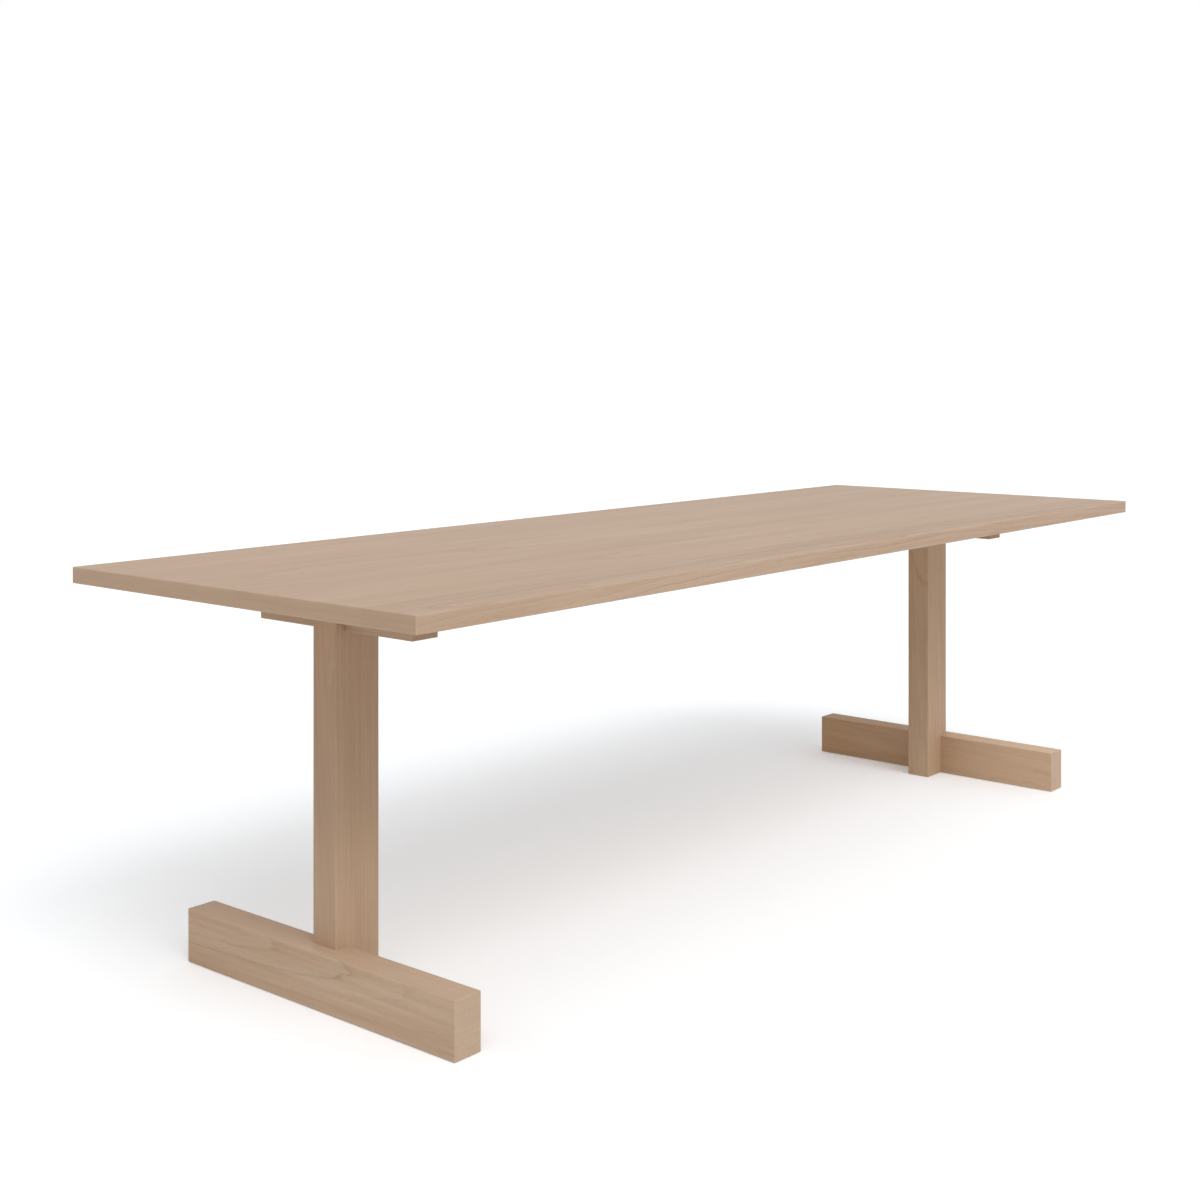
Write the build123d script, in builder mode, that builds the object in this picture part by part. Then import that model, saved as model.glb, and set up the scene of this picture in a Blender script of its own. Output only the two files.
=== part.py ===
from build123d import *
import os

# Communion table: a solid wood top on two pedestals, each a foot, a post and a bearer.
#
# Millimetres. The floor is at Z 0 with +Z up, and the origin is under the middle of the top.
# +X runs along the top to its right end, and -Y is the front.
#
# Each post is forked at its head, and the bearer lies in the fork (a bridle joint). At its
# lower end the post is let into a housing in the inner face of the foot and runs on down to
# the floor. Four bolts through each bearer hold the top, in slots that let it move in width.

# --- Driving sizes -------------------------------------------------------------------------

# Top: four boards glued edge to edge with loose tongues
top_length = 2600.0
top_width = 900.0
top_thickness = 30.0
table_height = 745.0  # floor to the face of the top
top_ease = 2.0  # rounding of the arrises of the top
board_1_width = 120.0  # the front board
board_2_width = 202.0
board_3_width = 300.0  # the fourth board, at the back, takes the rest of the width
tongue_thickness = 4.0
tongue_width = 20.0
tongue_stop = 60.0  # how far the tongues stay back from the ends of the top, out of sight
tongue_glue_room = 0.5  # left beyond each edge of a tongue

# Pedestals
wood_ease = 1.5  # rounding of the arrises of feet, posts and bearers
foot_length = 700.0
foot_thickness = 60.0
foot_rise = 100.0  # floor to the upper face of the foot
foot_middle_distance = 210.0  # end of the top to the middle of the foot
post_depth = 100.0  # along the table
post_width = 60.0  # across the table
housing_depth = 30.0  # how far the post is let into the foot
bearer_length = 400.0
bearer_thickness = 60.0
bearer_height = 66.0

# Dowels: two across each foot joint and two up into each bearer
foot_dowel_diameter = 12.0
foot_dowel_in_foot = 20.0
foot_dowel_in_post = 30.0
foot_dowel_edge = 30.0  # axis to the upper and lower faces of the foot
bearer_dowel_diameter = 10.0
bearer_dowel_in_post = 25.0
bearer_dowel_in_bearer = 25.0
bearer_dowel_side = 15.0  # axis to the side face of the post
dowel_fit = 0.1  # glue film round a dowel
dowel_end_room = 1.0  # left beyond each end of a dowel

# Bolts from the bearer into threaded inserts in the top
bolt_diameter = 8.0
bolt_head_diameter = 13.0
bolt_head_height = 8.0
bolt_socket_width = 6.0  # across the flats of the hexagon socket
bolt_socket_depth = 4.0
bolt_bite = 12.0  # length of bolt inside its insert
bolt_end_distance = 50.0  # outer bolts to the ends of the bearer
bolt_post_distance = 40.0  # inner bolts to the side faces of the post
bolt_hole_play = 0.5  # all round a bolt, in its slot
bolt_slot_travel = 6.0  # movement of the top that the slots allow
washer_diameter = 20.0
washer_thickness = 2.0
washer_play = 0.2  # bore of the washer round the bolt
counterbore_depth = 30.0
counterbore_play = 1.0  # all round a washer
insert_diameter = 12.0
insert_length = 16.0
thread_gap = 0.1  # stands for the thread between a screw and what it is screwed into

# Steel channels let into the underside of the top keep it flat
stiffener_count = 3
stiffener_length = 800.0
stiffener_width = 40.0
stiffener_height = 10.0
stiffener_wall = 3.0
stiffener_recess = 3.0  # how deep the web lies above the underside, which hides the heads
stiffener_fit = 0.3  # all round a channel, in its groove
screw_diameter = 5.0
screw_length = 16.0
screw_head_diameter = 9.5
screw_head_height = 2.5
screw_cross_width = 1.2
screw_cross_length = 5.0
screw_cross_depth = 1.4
screw_slot_travel = 6.0
screw_inset = 30.0  # from the joint between two boards, or from the end of a channel
screw_tip_room = 1.0

# Plastic glides in pockets under the feet and posts
glide_diameter = 22.0
glide_thickness = 4.0
glide_stand = 1.0  # how far a glide stands out of its pocket
glide_ease = 0.6
glide_end_distance = 35.0  # axis to the end of the foot
glide_post_distance = 25.0  # axis to the inner face of the post
glide_fit = 0.2

# --- Places worked out from them -----------------------------------------------------------

underside = table_height - top_thickness
foot_height = foot_rise - glide_stand
post_height = underside - glide_stand
bearer_bottom = underside - bearer_height

# Distances from the middle of the table along X
foot_outer = top_length / 2 - foot_middle_distance + foot_thickness / 2
foot_inner = foot_outer - foot_thickness
foot_middle = (foot_outer + foot_inner) / 2
post_outer = foot_inner + housing_depth
post_inner = post_outer - post_depth
post_middle = (post_outer + post_inner) / 2

joint_1 = -top_width / 2 + board_1_width
joint_2 = joint_1 + board_2_width
joint_3 = joint_2 + board_3_width
board_spans = [(-top_width / 2, joint_1), (joint_1, joint_2), (joint_2, joint_3), (joint_3, top_width / 2)]
glue_joints = [joint_1, joint_2, joint_3]

stiffener_pitch = 2 * post_middle / (stiffener_count + 1)
stiffener_places = [(i + 1) * stiffener_pitch - post_middle for i in range(stiffener_count)]
stiffener_top = underside + stiffener_recess + stiffener_height
web_bottom = underside + stiffener_recess
web_top = web_bottom + stiffener_wall
groove_top = stiffener_top + stiffener_fit

# The tongues lie halfway between the tops of the grooves and the face of the top
tongue_middle = (groove_top + table_height) / 2
tongue_length = top_length - 2 * tongue_stop

bolt_outer = bearer_length / 2 - bolt_end_distance
bolt_inner = post_width / 2 + bolt_post_distance
bolt_rows = [-bolt_outer, -bolt_inner, bolt_inner, bolt_outer]
washer_top = bearer_bottom + counterbore_depth
washer_bottom = washer_top - washer_thickness
bolt_length = underside + bolt_bite - washer_bottom

stand = (Align.CENTER, Align.CENTER, Align.MIN)
hang = (Align.CENTER, Align.CENTER, Align.MAX)


def screw_rows(low, high):
    """Places across the table of the screws that hold the board between low and high to a channel."""
    low = max(low, -stiffener_length / 2)
    high = min(high, stiffener_length / 2)
    if high - low < 3 * screw_inset:
        return [(low + high) / 2]
    return [low + screw_inset, high - screw_inset]


screw_places = [
    (x, y, web_bottom) for x in stiffener_places for low, high in board_spans for y in screw_rows(low, high)
]


def save(piece, name):
    """Label a finished piece and write it as a node."""
    piece.part.label = name
    export_step(piece.part, f"parts/{name}.step")


os.makedirs("parts", exist_ok=True)

# --- Top -----------------------------------------------------------------------------------

for number, (low, high) in enumerate(board_spans, start=1):
    with BuildPart() as board:
        # The top is eased as a whole, after the boards are glued
        with Locations((0, 0, underside)):
            Box(top_length, top_width, top_thickness, align=stand)
        fillet(board.edges(), top_ease)
        with Locations((0, (low + high) / 2, underside)):
            Box(top_length, high - low, top_thickness, align=stand, mode=Mode.INTERSECT)

        # Half of each tongue's groove
        with Locations(*[(0, y, tongue_middle) for y in glue_joints]):
            Box(tongue_length, tongue_width + 2 * tongue_glue_room, tongue_thickness, mode=Mode.SUBTRACT)

        # Grooves for the steel channels: a recess for the web and a slot for each flange
        groove_length = stiffener_length + 2 * stiffener_fit
        flange_offset = (stiffener_width - stiffener_wall) / 2
        with Locations(*[(x, 0, underside) for x in stiffener_places]):
            Box(
                stiffener_width + 2 * stiffener_fit,
                groove_length,
                web_top - underside,
                align=stand,
                mode=Mode.SUBTRACT,
            )
        with Locations(*[(x + s * flange_offset, 0, underside) for x in stiffener_places for s in (-1, 1)]):
            Box(
                stiffener_wall + 2 * stiffener_fit,
                groove_length,
                groove_top - underside,
                align=stand,
                mode=Mode.SUBTRACT,
            )

        # Pilot holes for the screws of the channels
        with Locations(*[(x, y, z) for x, y, z in screw_places if low < y < high]):
            Cylinder(
                screw_diameter / 2 + thread_gap,
                screw_length + screw_tip_room,
                align=stand,
                mode=Mode.SUBTRACT,
            )

        # Blind holes for the threaded inserts
        bolt_holes = [(s * post_middle, y, underside) for s in (-1, 1) for y in bolt_rows if low < y < high]
        if bolt_holes:
            with Locations(*bolt_holes):
                Cylinder(insert_diameter / 2 + thread_gap, insert_length, align=stand, mode=Mode.SUBTRACT)
    save(board, f"top_board_{number}")

with BuildPart() as tongues:
    with Locations(*[(0, y, tongue_middle) for y in glue_joints]):
        Box(tongue_length, tongue_width, tongue_thickness)
save(tongues, "top_tongues")

# --- Channels under the top ----------------------------------------------------------------

for number, x in enumerate(stiffener_places, start=1):
    with BuildPart() as stiffener:
        # A channel with its web down and its flanges up in the wood
        with Locations((x, 0, web_bottom)):
            Box(stiffener_width, stiffener_length, stiffener_height, align=stand)
        with Locations((x, 0, web_top)):
            Box(
                stiffener_width - 2 * stiffener_wall,
                stiffener_length,
                stiffener_height - stiffener_wall,
                align=stand,
                mode=Mode.SUBTRACT,
            )
        slot_width = screw_diameter + 2 * thread_gap
        with BuildSketch(Plane.XY.offset(web_bottom)):
            with Locations(*[(px, py) for px, py, pz in screw_places if px == x]):
                SlotOverall(slot_width + screw_slot_travel, slot_width, rotation=90)
        extrude(amount=stiffener_wall, mode=Mode.SUBTRACT)
    save(stiffener, f"stiffener_{number}")

with BuildPart() as screw:
    Cylinder(screw_diameter / 2, screw_length, align=stand)
    Cylinder(screw_head_diameter / 2, screw_head_height, align=hang)
    fillet(screw.edges().filter_by(GeomType.CIRCLE).group_by(Axis.Z)[0], screw_head_height / 2)
    chamfer(screw.edges().filter_by(GeomType.CIRCLE).group_by(Axis.Z)[-1], screw_diameter / 4)
    # Cross recess in the head
    with Locations((0, 0, -screw_head_height)):
        Box(screw_cross_length, screw_cross_width, screw_cross_depth, align=stand, mode=Mode.SUBTRACT)
        Box(screw_cross_width, screw_cross_length, screw_cross_depth, align=stand, mode=Mode.SUBTRACT)

with BuildPart() as stiffener_screws:
    with Locations(*screw_places):
        add(screw.part)
save(stiffener_screws, "stiffener_screws")

# --- Bolt and washer, each made once at the origin -------------------------------------------

with BuildPart() as bolt:
    # The underside of the head is at the origin
    Cylinder(bolt_diameter / 2, bolt_length, align=stand)
    Cylinder(bolt_head_diameter / 2, bolt_head_height, align=hang)
    chamfer(bolt.edges().filter_by(GeomType.CIRCLE).group_by(Axis.Z)[0], bolt_head_height / 12)
    chamfer(bolt.edges().filter_by(GeomType.CIRCLE).group_by(Axis.Z)[-1], bolt_diameter / 10)
    with BuildSketch(Plane.XY.offset(-bolt_head_height)):
        RegularPolygon(bolt_socket_width / 2, 6, major_radius=False)
    extrude(amount=bolt_socket_depth, mode=Mode.SUBTRACT)

with BuildPart() as washer:
    Cylinder(washer_diameter / 2, washer_thickness, align=stand)
    Cylinder(bolt_diameter / 2 + washer_play, washer_thickness, align=stand, mode=Mode.SUBTRACT)

with BuildPart() as insert:
    Cylinder(insert_diameter / 2, insert_length, align=stand)
    Cylinder(bolt_diameter / 2 + thread_gap, insert_length, align=stand, mode=Mode.SUBTRACT)

with BuildPart() as glide:
    Cylinder(glide_diameter / 2, glide_thickness, align=stand)
    fillet(glide.edges().group_by(Axis.Z)[0], glide_ease)

# --- Pedestals: the left one at -X, the right one at +X ----------------------------------------

for side_name, side in (("left", -1), ("right", 1)):
    foot_dowel_length = foot_dowel_in_foot + foot_dowel_in_post
    foot_dowel_x = side * (post_outer + (foot_dowel_in_foot - foot_dowel_in_post) / 2)
    foot_dowel_places = [
        (foot_dowel_x, 0, z) for z in (glide_stand + foot_dowel_edge, foot_rise - foot_dowel_edge)
    ]
    bearer_dowel_length = bearer_dowel_in_post + bearer_dowel_in_bearer
    bearer_dowel_y = post_width / 2 - bearer_dowel_side
    bearer_dowel_z = bearer_bottom + (bearer_dowel_in_bearer - bearer_dowel_in_post) / 2
    bearer_dowel_places = [(side * post_middle, s * bearer_dowel_y, bearer_dowel_z) for s in (-1, 1)]
    bolt_places = [(side * post_middle, y) for y in bolt_rows]
    foot_glide_y = foot_length / 2 - glide_end_distance
    foot_glide_places = [(side * foot_middle, s * foot_glide_y, 0) for s in (-1, 1)]
    post_glide_place = (side * (post_inner + glide_post_distance), 0, 0)
    pocket_radius = glide_diameter / 2 + glide_fit
    foot_dowel_hole = foot_dowel_diameter / 2 + dowel_fit
    bearer_dowel_hole = bearer_dowel_diameter / 2 + dowel_fit

    with BuildPart() as foot:
        with Locations((side * foot_middle, 0, glide_stand)):
            Box(foot_thickness, foot_length, foot_height, align=stand)
        fillet(foot.edges(), wood_ease)
        # Housing for the post, the full height of the inner face
        with Locations((side * (foot_inner + housing_depth / 2), 0, glide_stand)):
            Box(housing_depth, post_width, foot_height, align=stand, mode=Mode.SUBTRACT)
        with Locations(*foot_dowel_places):
            Cylinder(
                foot_dowel_hole,
                foot_dowel_length + 2 * dowel_end_room,
                rotation=(0, 90, 0),
                mode=Mode.SUBTRACT,
            )
        with Locations(*foot_glide_places):
            Cylinder(pocket_radius, glide_thickness, align=stand, mode=Mode.SUBTRACT)
    save(foot, f"{side_name}_foot")

    with BuildPart() as post:
        with Locations((side * post_middle, 0, glide_stand)):
            Box(post_depth, post_width, post_height, align=stand)
        fillet(post.edges().filter_by(Axis.Z), wood_ease)
        # The arrises stay square where they lie in the housing
        with Locations((side * (foot_inner + housing_depth / 2), 0, glide_stand)):
            Box(housing_depth, post_width, foot_height, align=stand)
        # Fork for the bearer
        with Locations((side * post_middle, 0, bearer_bottom)):
            Box(bearer_thickness, 2 * post_width, bearer_height, align=stand, mode=Mode.SUBTRACT)
        with Locations(*foot_dowel_places):
            Cylinder(
                foot_dowel_hole,
                foot_dowel_length + 2 * dowel_end_room,
                rotation=(0, 90, 0),
                mode=Mode.SUBTRACT,
            )
        with Locations(*bearer_dowel_places):
            Cylinder(bearer_dowel_hole, bearer_dowel_length + 2 * dowel_end_room, mode=Mode.SUBTRACT)
        with Locations(post_glide_place):
            Cylinder(pocket_radius, glide_thickness, align=stand, mode=Mode.SUBTRACT)
    save(post, f"{side_name}_post")

    with BuildPart() as bearer:
        with Locations((side * post_middle, 0, bearer_bottom)):
            Box(bearer_thickness, bearer_length, bearer_height, align=stand)
        fillet(bearer.edges(), wood_ease)
        # The arrises stay square inside the fork
        with Locations((side * post_middle, 0, bearer_bottom)):
            Box(bearer_thickness, post_width, bearer_height, align=stand)
        with Locations(*bearer_dowel_places):
            Cylinder(bearer_dowel_hole, bearer_dowel_length + 2 * dowel_end_room, mode=Mode.SUBTRACT)
        # Counterbores from below, and slots for the bolts above them
        recess_width = washer_diameter + 2 * counterbore_play
        bolt_hole_width = bolt_diameter + 2 * bolt_hole_play
        with BuildSketch(Plane.XY.offset(bearer_bottom)):
            with Locations(*bolt_places):
                SlotOverall(recess_width + bolt_slot_travel, recess_width, rotation=90)
        extrude(amount=counterbore_depth, mode=Mode.SUBTRACT)
        with BuildSketch(Plane.XY.offset(washer_top)):
            with Locations(*bolt_places):
                SlotOverall(bolt_hole_width + bolt_slot_travel, bolt_hole_width, rotation=90)
        extrude(amount=underside - washer_top, mode=Mode.SUBTRACT)
    save(bearer, f"{side_name}_bearer")

    with BuildPart() as foot_dowels:
        with Locations(*foot_dowel_places):
            Cylinder(foot_dowel_diameter / 2, foot_dowel_length, rotation=(0, 90, 0))
    save(foot_dowels, f"{side_name}_foot_dowels")

    with BuildPart() as bearer_dowels:
        with Locations(*bearer_dowel_places):
            Cylinder(bearer_dowel_diameter / 2, bearer_dowel_length)
    save(bearer_dowels, f"{side_name}_bearer_dowels")

    with BuildPart() as top_bolts:
        with Locations(*[(x, y, washer_bottom) for x, y in bolt_places]):
            add(bolt.part)
    save(top_bolts, f"{side_name}_top_bolts")

    with BuildPart() as bolt_washers:
        with Locations(*[(x, y, washer_bottom) for x, y in bolt_places]):
            add(washer.part)
    save(bolt_washers, f"{side_name}_bolt_washers")

    with BuildPart() as top_inserts:
        with Locations(*[(x, y, underside) for x, y in bolt_places]):
            add(insert.part)
    save(top_inserts, f"{side_name}_top_inserts")

    with BuildPart() as floor_glides:
        with Locations(*foot_glide_places, post_glide_place):
            add(glide.part)
    save(floor_glides, f"{side_name}_floor_glides")
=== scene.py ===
"""Dresses the communion table: finishes for its timber, fittings and glides, and a plain studio.

The shapes are the table's own solids, loaded as the frame. Metres, with the floor at Z 0, the
origin under the middle of the top, +X to the right end and -Y to the front.
"""

import math
from functools import partial
from typing import NamedTuple

import bpy
from bpy.props import FloatProperty, FloatVectorProperty, PointerProperty
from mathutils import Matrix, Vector


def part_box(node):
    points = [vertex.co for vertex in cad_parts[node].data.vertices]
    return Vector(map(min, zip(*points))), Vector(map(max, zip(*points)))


bl_info = {
    "name": "Communion Table",
    "version": (1, 0, 0),
    "blender": (4, 5, 0),
    "location": "3D View > Sidebar > Communion Table",
    "description": "Finishes a communion table in oiled hardwood and stands it in a plain studio",
    "category": "Object",
}

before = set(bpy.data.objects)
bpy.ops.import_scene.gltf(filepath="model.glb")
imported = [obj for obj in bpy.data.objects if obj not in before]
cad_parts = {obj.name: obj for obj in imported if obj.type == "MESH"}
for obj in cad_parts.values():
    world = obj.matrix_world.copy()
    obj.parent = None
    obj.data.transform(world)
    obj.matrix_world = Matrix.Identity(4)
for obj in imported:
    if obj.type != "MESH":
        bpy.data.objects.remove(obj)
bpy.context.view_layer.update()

BOARDS = ("top_board_1", "top_board_2", "top_board_3", "top_board_4")
SIDES = ("left", "right")
STIFFENERS = ("stiffener_1", "stiffener_2", "stiffener_3")

LAMP_DISTANCE = 4  # metres to where the sun lamps stand, which doesn't change their light
FLOOR_LIFT = 0.155  # strength of the floor's own light, which brings it up to white where it is lit


def linear(colour):
    """An sRGB hex colour, such as "B59A82", as linear red, green and blue."""
    channels = [int(colour[i : i + 2], 16) / 255 for i in (0, 2, 4)]
    return tuple(c / 12.92 if c <= 0.04045 else ((c + 0.055) / 1.055) ** 2.4 for c in channels)


# --- Sizes and colours that a user would change -------------------------------------------------


class TableTimber(bpy.types.PropertyGroup):
    """The hardwood of the top, feet, posts and bearers."""

    pale: FloatVectorProperty(
        name="Pale wood",
        description="Colour of the palest streaks between the growth rings",
        subtype="COLOR",
        min=0,
        max=1,
        default=linear("BDA188"),
    )
    brown: FloatVectorProperty(
        name="Brown wood",
        description="Colour of the browner streaks between the growth rings",
        subtype="COLOR",
        min=0,
        max=1,
        default=linear("AD8D71"),
    )
    late_wood: FloatVectorProperty(
        name="Late wood",
        description="Greyer and greener colour of the dense wood that ends each growth ring",
        subtype="COLOR",
        min=0,
        max=1,
        default=linear("B7A48C"),
    )
    ring_line: FloatVectorProperty(
        name="Ring line",
        description="Colour of the thin open-pored line that starts each growth ring",
        subtype="COLOR",
        min=0,
        max=1,
        default=linear("8B6A4D"),
    )
    pore: FloatVectorProperty(
        name="Pores",
        description="Colour inside the open pores, where oil and dust gather",
        subtype="COLOR",
        min=0,
        max=1,
        default=linear("6E5138"),
    )
    ring_strength: FloatProperty(
        name="Ring strength",
        description="How strongly the ring lines show",
        subtype="FACTOR",
        min=0,
        max=1,
        default=0.5,
    )
    rub_width: FloatProperty(
        name="Rubbed arris",
        description="How far hands and cloths have rubbed the wood pale, in from each arris",
        subtype="DISTANCE",
        unit="LENGTH",
        min=0,
        max=0.02,
        default=0.005,
    )
    bump_height: FloatProperty(
        name="Pore depth",
        description="Depth of the open pores in the oiled surface",
        subtype="DISTANCE",
        unit="LENGTH",
        min=0,
        max=0.001,
        default=0.00012,
    )


class TableFittings(bpy.types.PropertyGroup):
    """The fittings, dowels and glides."""

    zinc: FloatVectorProperty(
        name="Zinc plating",
        description="Colour of the bright zinc plating on bolts, washers, inserts and screws",
        subtype="COLOR",
        min=0,
        max=1,
        default=linear("C3C6CA"),
    )
    powder_coat: FloatVectorProperty(
        name="Powder coat",
        description="Colour of the coating on the steel channels under the top",
        subtype="COLOR",
        min=0,
        max=1,
        default=linear("252526"),
    )
    beech: FloatVectorProperty(
        name="Beech",
        description="Colour of the dowels and of the tongues between the boards",
        subtype="COLOR",
        min=0,
        max=1,
        default=linear("CFAE8B"),
    )
    nylon: FloatVectorProperty(
        name="Nylon",
        description="Colour of the floor glides",
        subtype="COLOR",
        min=0,
        max=1,
        default=linear("D9D3C4"),
    )


class TableStudio(bpy.types.PropertyGroup):
    """The floor, the light and the white round them."""

    key_azimuth: FloatProperty(
        name="Key light round",
        description="Where the key light comes from: 0 is the front and 90 the right end",
        subtype="ANGLE",
        unit="ROTATION",
        default=math.radians(348),
    )
    key_elevation: FloatProperty(
        name="Key light height",
        description="Height of the key light above the horizon",
        subtype="ANGLE",
        unit="ROTATION",
        min=0,
        max=math.pi / 2,
        default=math.radians(44),
    )
    key_strength: FloatProperty(
        name="Key light strength",
        description="Strength of the key light",
        min=0,
        default=1.01,
    )
    side_azimuth: FloatProperty(
        name="Side light round",
        description="Where the side light comes from: 0 is the front and 90 the right end",
        subtype="ANGLE",
        unit="ROTATION",
        default=math.radians(318),
    )
    side_elevation: FloatProperty(
        name="Side light height",
        description="Height of the side light above the horizon",
        subtype="ANGLE",
        unit="ROTATION",
        min=0,
        max=math.pi / 2,
        default=math.radians(58),
    )
    side_strength: FloatProperty(
        name="Side light strength",
        description="Strength of the side light",
        min=0,
        default=0.52,
    )
    light_spread: FloatProperty(
        name="Light spread",
        description="Angle across each light as the table sees it, which softens the shadows",
        subtype="ANGLE",
        unit="ROTATION",
        min=0,
        max=math.pi,
        default=math.radians(36),
    )
    sky_zenith: FloatProperty(
        name="Light from above",
        description="Brightness of the studio straight overhead",
        min=0,
        default=0.427,
    )
    sky_horizon: FloatProperty(
        name="Light from the sides",
        description="Brightness of the studio at the height of the horizon",
        min=0,
        default=1.058,
    )
    floor_size: FloatProperty(
        name="Floor size",
        description="Length of each side of the floor",
        subtype="DISTANCE",
        unit="LENGTH",
        min=4,
        default=80,
    )


# --- Timber -------------------------------------------------------------------------------------


class Timber(NamedTuple):
    """How one piece lay in the log that it was sawn from, which decides the figure on its faces."""

    heart: tuple  # a point on the heart of the log
    grain: tuple  # direction of the heart at that point
    ring_width: float  # growth in one year
    first_ring: float  # radius of one ring, which settles all the others
    bow: tuple = (0, 0)  # sideways and upward bend of the heart, per metre squared
    wander: float = 0.012  # how far the rings wander from true circles
    uneven: float = 0.5  # how much the years differ, in rings
    clear_years: tuple = (-1000, 1000)  # years out from the first ring where the rings show clearly
    tints_and_painted_shade: tuple = ((1, 1, 1), (1, 1, 1))  # evenly spaced along the piece, against other pieces; partly painted light and shade
    contrast: float = 1.0  # strength of the figure against the other pieces
    streaks: float = 1.0  # strength of the streaks along the fibres against the other pieces
    end_grain: str = "AE927A"  # colour of the end grain
    gloss: float = 0.25  # strength of the sheen, which is higher where the wax is buffed
    seed: float = 0.0  # its fraction picks the strong rings, and all of it the small figure


# The tinting runs from left to right, front to back or floor to top. The boards of the top are a
# little cooler than the rest, and most at the right. On the feet and posts it is painted light and
# shade: the feet are paler at their lit front ends, the far foot is darker and more orange at the
# back under the top, and the posts are darker in the middle, where the top shades them.
TIMBERS = {
    # Front board: its heart lies under the front edge and arches gently along it
    "top_board_1": Timber(
        heart=(-1.02, -0.44, 0.525),
        grain=(1, -0.03, 0.0475),
        bow=(0, -0.0195),
        ring_width=0.012,
        first_ring=0.220,
        wander=0.05,
        tints_and_painted_shade=((0.94, 0.95, 0.965), (0.94, 0.955, 1.0)),
        contrast=0.85,
        streaks=0.7,
        gloss=0.5,
        seed=4.8,
    ),
    "top_board_2": Timber(
        heart=(-1.0, -0.196, 0.145),
        grain=(1, 0.004, 0.0075),
        ring_width=0.0042,
        first_ring=0.600,
        clear_years=(-0.8, 3),
        wander=0.005,
        tints_and_painted_shade=((0.99, 1.01, 1.035), (0.98, 1.01, 1.07)),
        contrast=0.42,
        streaks=0.55,
        gloss=0.5,
        seed=7.5,
    ),
    # The widest board: its rings run out at the face as long pointed tongues
    "top_board_3": Timber(
        heart=(-1.126, 0.077, 0.045),
        grain=(1, -0.004, 0.0086),
        ring_width=0.005,
        first_ring=0.700,
        clear_years=(-1.3, 2),
        wander=0.004,
        uneven=0.2,
        tints_and_painted_shade=((0.97, 0.99, 1.01), (0.955, 0.99, 1.045)),
        contrast=0.75,
        streaks=0.55,
        gloss=0.5,
        seed=1.15,
    ),
    "top_board_4": Timber(
        heart=(0, 0.62, -0.155),
        grain=(1, 0.006, 0.004),
        ring_width=0.006,
        first_ring=0.900,
        wander=0.008,
        tints_and_painted_shade=((0.96, 0.975, 1.0), (0.945, 0.975, 1.035)),
        contrast=0.42,
        streaks=0.55,
        gloss=0.5,
        seed=9.2,
    ),
    "left_foot": Timber(
        heart=(-1.0101, 0.40, 0.087),
        grain=(0, -1, 0),
        bow=(0.0366, 0),
        ring_width=0.0061,
        first_ring=0.1132,
        wander=0.003,
        uneven=0.1,
        clear_years=(-1000, 1.4),
        # Painted light: paler at the front end, where more light falls
        tints_and_painted_shade=((1.065, 1.11, 1.155), (0.985, 0.995, 1.0)),
        contrast=1.15,
        end_grain="B9A18B",
        seed=4.232,
    ),
    "right_foot": Timber(
        heart=(1.21, -0.30, 0.03),
        grain=(0, 1, 0.03),
        bow=(0.03, 0),
        ring_width=0.0075,
        first_ring=0.150,
        wander=0.008,
        # Painted light and shade: paler at the front end, darker and more orange at the back under
        # the top
        tints_and_painted_shade=((1.275, 1.33, 1.36), (0.922, 0.838, 0.71)),
        contrast=0.5,
        end_grain="BAA28F",
        seed=5.9,
    ),
    "left_post": Timber(
        heart=(-0.99, -0.0175, 0.5175),
        grain=(-0.0063, 0.04, 1),
        ring_width=0.0072,
        first_ring=0.100,
        wander=0.005,
        uneven=0.15,
        # Painted shade: darker in the middle of the post, paler near the top
        tints_and_painted_shade=(
            (0.99, 1.0, 1.01),
            (0.982, 0.996, 1.008),
            (0.86, 0.85, 0.829),
            (0.925, 0.897, 0.862),
            (1.075, 1.025, 0.965),
        ),
        contrast=0.55,
        streaks=0.75,
        seed=13.15,
    ),
    # Far post: one tongue comes down its outer face from the top
    "right_post": Timber(
        heart=(1.10, -0.012, 0.70),
        grain=(-0.06, 0.02, 1),
        bow=(0.03, 0.02),
        ring_width=0.0065,
        first_ring=0.1153,
        wander=0.007,
        clear_years=(-1000, 1.3),
        # Painted shade: darker in the middle of the post, paler at both ends
        tints_and_painted_shade=(
            (1.06, 1.068, 1.05),
            (0.98, 0.978, 0.964),
            (0.939, 0.938, 0.904),
            (1.054, 1.021, 0.96),
            (1.18, 1.147, 1.07),
        ),
        contrast=0.68,
        seed=3.3,
    ),
    "left_bearer": Timber(
        heart=(-1.04, -0.1, 0.78),
        grain=(0, 1, 0.03),
        ring_width=0.007,
        first_ring=0.085,
        seed=8.3,
    ),
    "right_bearer": Timber(
        heart=(1.06, 0.1, 0.60),
        grain=(0, 1, -0.02),
        ring_width=0.006,
        first_ring=0.070,
        seed=0.7,
    ),
}


# --- Nodes --------------------------------------------------------------------------------------

# Sockets of a Mix node for colours, which have the same names as its sockets for numbers
FACTOR, UNDER, OVER, MIXED = 0, 6, 7, 2

NODE_SPACING = (180, 220)  # across and down, in the node editor
NODES_IN_ROW = 12


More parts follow.
